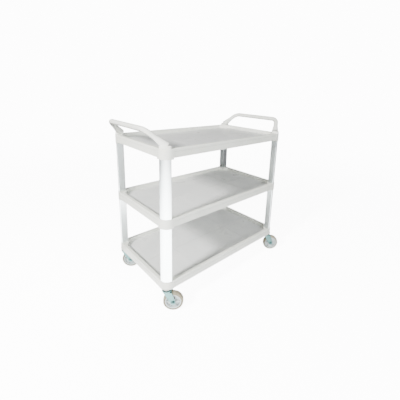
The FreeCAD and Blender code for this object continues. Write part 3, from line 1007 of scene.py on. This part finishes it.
def band_faces(near: Array, far: Array, columns: int) -> list[list[int]]:
    """Join pairs of rings with bands of four-sided faces.

    A face has points c and c + 1 of its near ring and the same two of its far ring, and after the
    last point comes the first.

    Args:
        near: The number of each near ring's first point.
        far: The number of each far ring's first point.
        columns: How many points a ring has.

    Returns:
        The faces.
    """
    col = np.arange(columns)
    right = (col + 1) % columns
    sides = ((near, col), (near, right), (far, right), (far, col))
    return np.stack([ring[:, None] + step for ring, step in sides], axis=-1).reshape(-1, 4).tolist()


def fan_faces(pole: int, ring: int, columns: int, turn: int = 1) -> list[list[int]]:
    """Join a ring to a pole with a fan of triangles.

    Args:
        pole: The pole's number.
        ring: The number of the ring's first point.
        columns: How many points the ring has.
        turn: 1 for faces that run round as the ring does, and -1 for the other way.

    Returns:
        The faces.
    """
    col = np.arange(columns)
    fan = np.column_stack([np.full(columns, pole), ring + col, ring + (col + 1) % columns])
    return fan[:, ::turn].tolist()


def place_mesh(name: str, points: Array, faces: list[list[int]]) -> bpy.types.Object:
    """Make a mesh, and put it in the scene at the origin.

    Args:
        name: The name of the mesh and of its object.
        points: The points, one in each row.
        faces: The faces, each as the numbers of its points.

    Returns:
        The object.
    """
    mesh = bpy.data.meshes.new(name)
    mesh.from_pydata(points.tolist(), [], faces)
    mesh.validate()
    made = bpy.data.objects.new(name, mesh)
    bpy.context.scene.collection.objects.link(made)
    return made


def turned_object(name: str, grid: Array, poles: Array | None = None) -> bpy.types.Object:
    """Make a closed, smooth piece from rings of points, each ring closed on itself.

    Each ring joins the next one. Without poles the last ring also joins the first, so the surface
    closes like a bent tube. With poles, a fan of triangles closes each end.

    Args:
        name: The object's name.
        grid: Points, as rings x columns x 3.
        poles: The points that close the first and the last ring, if any.

    Returns:
        The object, in the scene, at the origin.
    """
    rings, columns, _ = grid.shape
    points = grid.reshape(-1, 3)
    first = np.arange(rings) * columns
    if poles is None:
        faces = band_faces(first, np.roll(first, -1), columns)
    else:
        faces = band_faces(first[:-1], first[1:], columns)
        faces += fan_faces(len(points), 0, columns, -1)
        faces += fan_faces(len(points) + 1, int(first[-1]), columns)
        points = np.vstack([points, poles])
    made = place_mesh(name, points, faces)
    made.data.polygons.foreach_set("use_smooth", np.ones(len(made.data.polygons), bool))
    made.data.set_sharp_from_angle(angle=SHARP_EDGE)
    return made


def hexagon_radius(angle: Array, flats: float) -> Array:
    """Distance from the middle of a hexagon to its side at each angle.

    Half the distance across flats, divided by the cosine of the angle from the nearest flat's middle.

    Args:
        angle: Angles in radians.
        flats: Distance across flats.

    Returns:
        One radius for each angle.
    """
    sixth = math.pi / 3
    return flats / 2 / np.cos((angle + sixth / 2) % sixth - sixth / 2)


@dataclass(frozen=True)
class AxleFrame:
    """Where a wheel's axle is: the wheel's centre, the axle's direction and two directions across it."""

    centre: Array
    along: Array
    across: Array
    up: Array

    @classmethod
    def of_joint(cls, joint: dict[str, object]) -> "AxleFrame":
        """Read the frame from a wheel's joint.

        Args:
            joint: The joint's entry in the record.

        Returns:
            The frame, with its along direction towards the nut.
        """
        along = -np.array(joint["axis"], float)
        up = np.array([0.0, 0.0, 1.0])
        centre = np.array(joint["pos_m"], float)
        return cls(centre, along / np.linalg.norm(along), np.cross(up, along), up)

    def lay(self, radius: Array, depth: Array, angle: Array) -> Array:
        """Turn cylinder coordinates about the axle into points.

        Each point is the centre plus depth along the axle plus radius in the direction of the angle.

        Args:
            radius: Distances from the axle, as rings x columns.
            depth: Distances along the axle from the wheel's middle, as rings x columns.
            angle: Angles round the axle, one for each column.

        Returns:
            Points, as rings x columns x 3.
        """
        spoke = np.cos(angle)[:, None] * self.across + np.sin(angle)[:, None] * self.up
        return self.centre + depth[..., None] * self.along + radius[..., None] * spoke


class Corner(Enum):
    """The trolley's four corners."""

    FRONT_LEFT = "front_left"
    FRONT_RIGHT = "front_right"
    BACK_LEFT = "back_left"
    BACK_RIGHT = "back_right"


class SubAssembly(ABC):
    """A group of pieces that is built and dressed together."""

    def dress_nodes(self, nodes: dict[str, bpy.types.Object], slots: dict[str, str]) -> list[str]:
        """Give each of the group's CAD nodes its finish.

        Args:
            nodes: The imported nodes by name.
            slots: The material slot of each node.

        Returns:
            The names of the nodes that were dressed.
        """
        mine = [name for name in sorted(nodes) if self.owns(name)]
        for name in mine:
            finish = FINISHES[slots[name]].material()
            if not nodes[name].material_slots:
                nodes[name].data.materials.append(None)
            for place in nodes[name].material_slots:
                place.material = finish
        return mine

    @abstractmethod
    def owns(self, node: str) -> bool:
        """Say whether a CAD node belongs to this group."""

    def build(self, joints: dict[str, dict[str, object]]) -> list[bpy.types.Object]:
        """Make the group's new pieces.

        Args:
            joints: The record's joints by name.

        Returns:
            The new pieces.
        """
        return []

    @staticmethod
    def finish_piece(piece: bpy.types.Object, body: str, slot: str) -> bpy.types.Object:
        """Dress a new piece and let it ride on its body.

        Args:
            piece: The piece.
            body: The CAD body that it moves with.
            slot: The material slot that it takes its finish from.

        Returns:
            The same piece.
        """
        piece.data.materials.clear()
        piece.data.materials.append(FINISHES[slot].material())
        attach(piece, body)
        return piece


class Shelves(SubAssembly):
    """The three moulded shelves and the screws in their corners."""

    def owns(self, node: str) -> bool:
        """Say whether a node is a shelf or one of its screws."""
        return node.endswith("_shelf") or node.endswith("_shelf_screws")


class Uprights(SubAssembly):
    """The quarter-round posts and the plugs inside them."""

    def owns(self, node: str) -> bool:
        """Say whether a node is a post or a plug."""
        return "_post_" in node


class Handles(SubAssembly):
    """The two end handles with their bolts and inserts."""

    def owns(self, node: str) -> bool:
        """Say whether a node is a handle, its bolts or the inserts."""
        return "handle" in node


@dataclass
class Casters(SubAssembly):
    """The four swivel casters, with turned axle hardware and moulded tyres in place of the plain ones.

    Rises are distances from the end of a hexagon, and a cone holds shares of half the distance across
    its flats. A share of 1.2 is beyond the hexagon's corners, so it cuts nothing off.
    """

    wheel_radius: float = 0.05
    tyre_bore: float = 0.039
    tyre_width: float = 0.028
    shoulder: float = 0.006
    crown: float = 0.0005
    tread_points: int = 15
    shoulder_points: int = 7
    seam_height: float = 0.00025
    seam_width: float = 0.0007
    side_step: float = 0.0008
    step_margin: float = 0.0008
    step_slope: float = 0.0006
    bore_chamfer: float = 0.0004
    fork_outer: float = 0.0197
    axle_radius: float = 0.005
    axle_flats: float = 0.016
    head_height: float = 0.006
    head_rises: tuple[float, ...] = (0.0, 0.0, 0.0006, 0.0016)
    head_cone: tuple[float, ...] = (0.9, 0.96, 1.06, 1.2)
    head_base: float = 0.0005
    washer_height: float = 0.0004
    washer_share: float = 0.97
    shank_end: float = 0.001
    thread_start: float = 0.0012
    thread_rings: int = 44
    thread_pitch: float = 0.0015
    thread_depth: float = 0.0006
    tip_reach: float = 0.0015
    tip_height: float = 0.0003
    tip_chamfer: float = 0.0004
    nut_height: float = 0.0075
    nut_hex_share: float = 0.68
    nut_rises: tuple[float, ...] = (0.0, 0.0005, 0.0012)
    nut_cone: tuple[float, ...] = (0.97, 1.06, 1.2)
    nut_shoulder: float = 0.0008
    nut_shoulder_cone: tuple[float, ...] = (1.2, 1.02)
    collar_share: float = 0.86
    collar_round: float = 0.0012
    collar_points: int = 6
    columns: int = 96
    prefixes: tuple[str, ...] = (
        "caster_", "kingpin_", "fork_", "bearing_", "axle_", "wheel_", "tyre_"
    )

    def owns(self, node: str) -> bool:
        """Say whether a node is part of a caster."""
        return node.startswith(self.prefixes)

    def angles(self) -> Array:
        """Angles of the columns round the axle, in radians."""
        return np.linspace(0.0, 2 * math.pi, self.columns, endpoint=False)

    def build(self, joints: dict[str, dict[str, object]]) -> list[bpy.types.Object]:
        """Make each caster's tyre, axle bolt and lock nut.

        Args:
            joints: The record's joints by name.

        Returns:
            The new pieces.
        """
        made: list[bpy.types.Object] = []
        for corner in Corner:
            frame = AxleFrame.of_joint(joints[f"wheel_spin_{corner.value}"])
            made.append(self.tyre(frame, corner))
            made.append(self.axle_bolt(frame, corner))
            made.append(self.lock_nut(frame, corner))
        return made

    def tyre(self, frame: AxleFrame, corner: Corner) -> bpy.types.Object:
        """Turn the tyre's closed profile about the axle.

        The tread's radius falls from its middle by the crown times the square of the share of the
        half width, and a low seam stands along the middle. Quarter circles round the shoulders, and
        a shallow step runs round each side.

        Args:
            frame: The axle.
            corner: The caster's corner.

        Returns:
            The tyre.
        """
        half = self.tyre_width / 2
        flat = half - self.shoulder
        across = np.linspace(-flat, flat, self.tread_points)
        tread = self.wheel_radius - self.seam_height - self.crown * (across / flat) ** 2
        tread = tread + self.seam_height * np.exp(-((across / self.seam_width) ** 2))
        turn = np.linspace(math.pi / 2, 0.0, self.shoulder_points)[1:]
        edge = self.wheel_radius - self.seam_height - self.crown - self.shoulder
        outer = edge - self.step_margin
        bore = self.tyre_bore
        step_radius = [outer, outer - self.step_slope, bore + 2 * self.step_margin]
        step_radius += [bore + self.step_margin, bore]
        low = half - self.side_step
        step_depth = [half, low, low, half, half - self.bore_chamfer]
        side_depth = np.concatenate([flat + self.shoulder * np.cos(turn), step_depth])
        side_radius = np.concatenate([edge + self.shoulder * np.sin(turn), step_radius])
        depth = np.concatenate([-side_depth[::-1], across, side_depth])
        radius = np.concatenate([side_radius[::-1], tread, side_radius])
        grid = frame.lay(self.spread(radius), self.spread(depth), self.angles())
        piece = turned_object(f"tyre_moulding_{corner.value}", grid)
        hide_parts(f"tyre_{corner.value}")
        return self.finish_piece(piece, f"wheel_{corner.value}", "tyre_rubber")

    def spread(self, values: Array) -> Array:
        """Repeat a profile's values round the axle, as rings x columns."""
        return np.repeat(values[:, None], self.columns, axis=1)

    def hexagon(self, cone: Array) -> Array:
        """Chamfer a hexagon, whose radius is the lesser of its own and a cone's.

        Args:
            cone: The cone's radius at each ring, in shares of half the distance across flats.

        Returns:
            Radii, as rings x columns.
        """
        sides = hexagon_radius(self.angles(), self.axle_flats)
        return np.minimum(sides, self.axle_flats / 2 * cone[:, None])

    def axle_bolt(self, frame: AxleFrame, corner: Corner) -> bpy.types.Object:
        """Make the hexagon bolt with a chamfered head and a threaded tip.

        The chamfered head stands on a thin round washer face, and the shank is plain between the
        fork's legs. On the tip a ridge winds round: the radius falls by twice the thread's depth
        times the distance, in turns, from the nearest crest.

        Args:
            frame: The axle.
            corner: The caster's corner.

        Returns:
            The bolt.
        """
        angle = self.angles()
        leg = self.fork_outer
        head_end = -leg - self.head_height
        head_depth = np.append(head_end + np.array(self.head_rises), -leg - self.head_base)
        head = self.hexagon(np.append(self.head_cone, self.head_cone[-1]))
        plain_depth = [-leg - self.washer_height, -leg, -leg, leg + self.shank_end]
        washer = self.axle_flats / 2 * self.washer_share
        plain = self.spread(np.repeat([washer, self.axle_radius], 2))
        tip_end = leg + self.nut_height + self.tip_reach
        tip_depth = np.linspace(leg + self.thread_start, tip_end - self.tip_height, self.thread_rings)
        turns = (tip_depth[:, None] / self.thread_pitch - angle / (2 * math.pi)) % 1.0
        ridge = self.axle_radius - self.thread_depth * (1 - 2 * np.abs(turns - 0.5))
        end = self.spread(np.array([self.axle_radius - self.thread_depth - self.tip_chamfer]))
        depth = np.concatenate([head_depth, plain_depth, tip_depth, [tip_end]])
        grid = frame.lay(np.concatenate([head, plain, ridge, end]), self.spread(depth), angle)
        poles = frame.centre + np.outer([head_end, tip_end], frame.along)
        piece = turned_object(f"axle_hex_bolt_{corner.value}", grid, poles)
        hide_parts(f"axle_bolt_{corner.value}")
        return self.finish_piece(piece, f"swivel_{corner.value}", "caster_zinc")

    def lock_nut(self, frame: AxleFrame, corner: Corner) -> bpy.types.Object:
        """Make the lock nut: a chamfered hexagon with a rounded collar round the bolt.

        Its closed profile runs from the fork's face out over the hexagon, in to the collar, round the
        collar's edge by a quarter circle, and back through the bore.

        Args:
            frame: The axle.
            corner: The caster's corner.

        Returns:
            The nut.
        """
        low = self.fork_outer
        ledge = low + self.nut_height * self.nut_hex_share
        top = low + self.nut_height
        collar = self.axle_flats / 2 * self.collar_share
        turn = np.linspace(0.0, math.pi / 2, self.collar_points)
        bend = top - self.collar_round + self.collar_round * np.sin(turn)
        rounded = collar - self.collar_round * (1 - np.cos(turn))
        hexagon = self.hexagon(np.array(self.nut_cone + self.nut_shoulder_cone))
        bore = [self.axle_radius, self.axle_radius]
        inside = self.spread(np.concatenate([[collar], rounded, bore]))
        rises = low + np.array(self.nut_rises)
        depth = np.concatenate([rises, [ledge - self.nut_shoulder, ledge, ledge], bend, [top, low]])
        grid = frame.lay(np.concatenate([hexagon, inside]), self.spread(depth), self.angles())
        piece = turned_object(f"axle_lock_nut_{corner.value}", grid)
        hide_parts(f"axle_nut_{corner.value}")
        return self.finish_piece(piece, f"swivel_{corner.value}", "caster_zinc")


# Studio


@dataclass(frozen=True)
class Softbox:
    """A large, even studio light."""

    name: str
    place: tuple[float, float, float]
    width: float
    height: float
    power: float
    colour: Rgb = WHITE
    mirrored: bool = False

    def build(self, target: Vector) -> None:
        """Hang the light where it belongs, turned to the target.

        Args:
            target: The point that it faces.
        """
        lamp = bpy.data.lights.new(self.name, "AREA")
        lamp.shape = "RECTANGLE"
        lamp.size, lamp.size_y = self.width, self.height
        lamp.energy = self.power
        lamp.color = self.colour
        hung = bpy.data.objects.new(self.name, lamp)
        hung.location = self.place
        hung.visible_glossy = self.mirrored
        hung.rotation_euler = (target - Vector(self.place)).to_track_quat("-Z", "Y").to_euler()
        bpy.context.scene.collection.objects.link(hung)


@dataclass(frozen=True)
class Studio:
    """A floor that looks white and mirrors a pool of light, under a soft dome and softboxes."""

    floor_radius: float = 14.0
    floor_rings: int = 24
    floor_columns: int = 96
    floor_drop: float = 0.0006
    inner_share: float = 0.02
    floor_tones: tuple[Rgb, Rgb] = ((0.86, 0.86, 0.86), (0.88, 0.88, 0.88))
    floor_roughness: float = 0.6
    mottle_scale: float = 3.0
    mottle_band: tuple[float, float] = (0.3, 0.7)
    fade: tuple[float, float] = (1.0, 4.5)
    white: float = 13.0
    near_white: float = 0.8
    dome: float = 0.21
    shade_side: tuple[float, float, float] = (-0.72, 0.69, 0.0)
    shade_band: tuple[float, float] = (-0.1, 0.8)
    shade_share: float = 0.22
    glow_middle: tuple[float, float, float] = (-1.1, -0.9, 0.0)
    glow_reach: tuple[float, float] = (0.5, 2.3)
    glow_light: float = 1.1
    bounce: float = 0.35
    glow_shine: float = 15.0
    softboxes: tuple[Softbox, ...] = (
        Softbox("left_softbox", (-2.7, -0.45, 2.05), 0.35, 0.35, 265.0, (1.0, 0.985, 0.96)),
        Softbox("front_softbox", (-0.9, -3.2, 1.6), 2.2, 1.0, 185.0, (0.97, 0.99, 1.0)),
        Softbox("top_softbox", (-0.5, 0.1, 3.0), 1.2, 1.2, 6.0, mirrored=True),
        Softbox("back_softbox", (1.9, 2.7, 1.4), 1.8, 1.2, 70.0),
    )

    def build(self, target: Vector) -> None:
        """Build the floor, the dome and the lights.

        Args:
            target: The middle of the object.
        """
        self.build_floor()
        self.build_dome()
        for softbox in self.softboxes:
            softbox.build(target)

    def build_floor(self) -> None:
        """Lay a round floor whose rings widen with the square of their share of the radius."""
        radius = self.floor_radius * np.linspace(self.inner_share, 1.0, self.floor_rings) ** 2
        angle = np.linspace(0.0, 2 * math.pi, self.floor_columns, endpoint=False)
        x = radius[:, None] * np.cos(angle)
        y = radius[:, None] * np.sin(angle)
        rings = np.stack([x, y, np.full_like(x, -self.floor_drop)], axis=-1).reshape(-1, 3)
        first = np.arange(self.floor_rings) * self.floor_columns
        faces = band_faces(first[1:], first[:-1], self.floor_columns)
        faces += fan_faces(len(rings), 0, self.floor_columns)
        floor = place_mesh("studio_floor", np.vstack([rings, (0.0, 0.0, -self.floor_drop)]), faces)
        floor.data.materials.append(self.floor_material())
        floor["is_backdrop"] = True

    def facing_share(self, w: Wiring, direction: Socket) -> Socket:
        """Find how far a direction is from the studio's shaded side.

        Args:
            w: The wiring.
            direction: A direction of unit length.

        Returns:
            One away from the shaded side, falling to a small share towards it.
        """
        behind = w.vector("DOT_PRODUCT", direction, self.shade_side)["Value"]
        return w.band(behind, *self.shade_band, 1.0, self.shade_share)

    def floor_material(self) -> bpy.types.Material:
        """Make the floor's material: white to the camera, with a pool of light, and clear from below.

        Returns:
            The material.
        """
        made = bpy.data.materials.new("studio_floor")
        w = Wiring.blank(made)
        point = w.add("ShaderNodeTexCoord").outputs["Object"]
        distance = w.vector("LENGTH", point)["Value"]
        outward = w.vector("NORMALIZE", point)["Vector"]
        path = w.add("ShaderNodeLightPath").outputs
        mottle = w.noise(w.stretch(point, self.mottle_scale), detail=4.0)
        pale = w.blend(w.band(mottle, *self.mottle_band), *self.floor_tones)
        aside = w.vector("DISTANCE", point, self.glow_middle)["Value"]
        pool = w.band(aside, *self.glow_reach, 1.0, 0.0)
        room = w.calc("MULTIPLY", self.facing_share(w, outward), self.dome)
        light = w.calc("MULTIPLY", pool, self.glow_light)
        shine = w.calc("MULTIPLY_ADD", pool, self.glow_shine, room)
        near_seen = w.band(distance, *self.fade, self.white * self.near_white, self.white)
        lit_share = w.band(distance, *self.fade, 1.0, 0.0)
        dimmed = w.calc("MULTIPLY_ADD", path["Is Diffuse Ray"], self.bounce - 1.0, 1.0)
        not_shiny = w.calc("SUBTRACT", dimmed, path["Is Glossy Ray"], clamp=True)
        lit_colour = w.blend(w.calc("MULTIPLY", lit_share, not_shiny), (0.0, 0.0, 0.0), pale)
        feeds = {"Color": lit_colour, "Roughness": self.floor_roughness}
        lit = w.add("ShaderNodeBsdfDiffuse", feeds).outputs[0]
        felt = w.mix(path["Is Glossy Ray"], light, shine)
        glow = w.mix(path["Is Camera Ray"], felt, near_seen)
        extra = w.add("ShaderNodeEmission", {"Color": WHITE, "Strength": glow}).outputs[0]
        top = w.add("ShaderNodeAddShader", {0: lit, 1: extra}).outputs[0]
        clear = w.add("ShaderNodeBsdfTransparent").outputs[0]
        below = w.add("ShaderNodeNewGeometry").outputs["Backfacing"]
        both = w.add("ShaderNodeMixShader", {0: below, 1: top, 2: clear}).outputs[0]
        w.add("ShaderNodeOutputMaterial", {"Surface": both})
        return made

    def build_dome(self) -> None:
        """Light the scene from all round, less from behind on the left."""
        world = bpy.data.worlds.new("studio_dome")
        w = Wiring.blank(world)
        toward = w.add("ShaderNodeTexCoord").outputs["Generated"]
        level = w.calc("MULTIPLY", self.facing_share(w, toward), self.dome)
        seen = w.add("ShaderNodeLightPath").outputs["Is Camera Ray"]
        shown = w.mix(seen, level, self.white)
        sky = w.add("ShaderNodeBackground", {"Color": WHITE, "Strength": shown})
        w.add("ShaderNodeOutputWorld", {"Surface": sky.outputs[0]})
        bpy.context.scene.world = world


@dataclass(frozen=True)
class StandingCamera:
    """The camera: where it stands, its heading from +Y towards +X, its dip below level and its lean."""

    place: tuple[float, float, float] = (-1.0126, -1.1640, 1.0552)
    heading: float = 0.767700
    dip: float = 0.240132
    lean: float = 0.036807
    lens: float = 24.0502
    sensor: float = 36.0
    shift: tuple[float, float] = (-0.04043, -0.11047)
    clip: tuple[float, float] = (0.01, 100.0)

    def build(self) -> None:
        """Stand the camera up and make it the scene's camera."""
        level = Vector((math.cos(self.heading), -math.sin(self.heading), 0.0))
        onward = Vector((math.sin(self.heading), math.cos(self.heading), 0.0))
        ahead = onward * math.cos(self.dip) - Vector((0.0, 0.0, math.sin(self.dip)))
        upright = level.cross(ahead)
        right = level * math.cos(self.lean) + upright * math.sin(self.lean)
        up = upright * math.cos(self.lean) - level * math.sin(self.lean)
        lens = bpy.data.cameras.new("trolley_camera")
        lens.lens, lens.sensor_width = self.lens, self.sensor
        lens.shift_x, lens.shift_y = self.shift
        lens.clip_start, lens.clip_end = self.clip
        camera = bpy.data.objects.new("trolley_camera", lens)
        turn = Matrix((right, up, -ahead)).transposed().to_4x4()
        camera.matrix_world = Matrix.Translation(Vector(self.place)) @ turn
        bpy.context.scene.collection.objects.link(camera)
        bpy.context.scene.camera = camera


def main() -> None:
    """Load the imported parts, dress them, add the new pieces, and set up the studio."""
    logging.basicConfig(level=logging.INFO, format="%(name)s: %(message)s")
    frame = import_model()
    cad_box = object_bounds()
    slots = {row["node"]: row["material_slot"] for row in frame["record"]["subparts"]}
    joints = {joint["name"]: joint for joint in frame["joints"]}
    for group in (Shelves(), Uprights(), Handles(), Casters()):
        dressed = group.dress_nodes(frame["nodes"], slots)
        added = group.build(joints)
        log.info("%s: %d nodes dressed", type(group).__name__, len(dressed))
        for piece in added:
            log.info("  new piece %s, %d faces", piece.name, len(piece.data.polygons))
    middle = (cad_box[0] + cad_box[1]) / 2
    Studio().build(middle)
    StandingCamera().build()


if __name__ == "__main__":
    main()
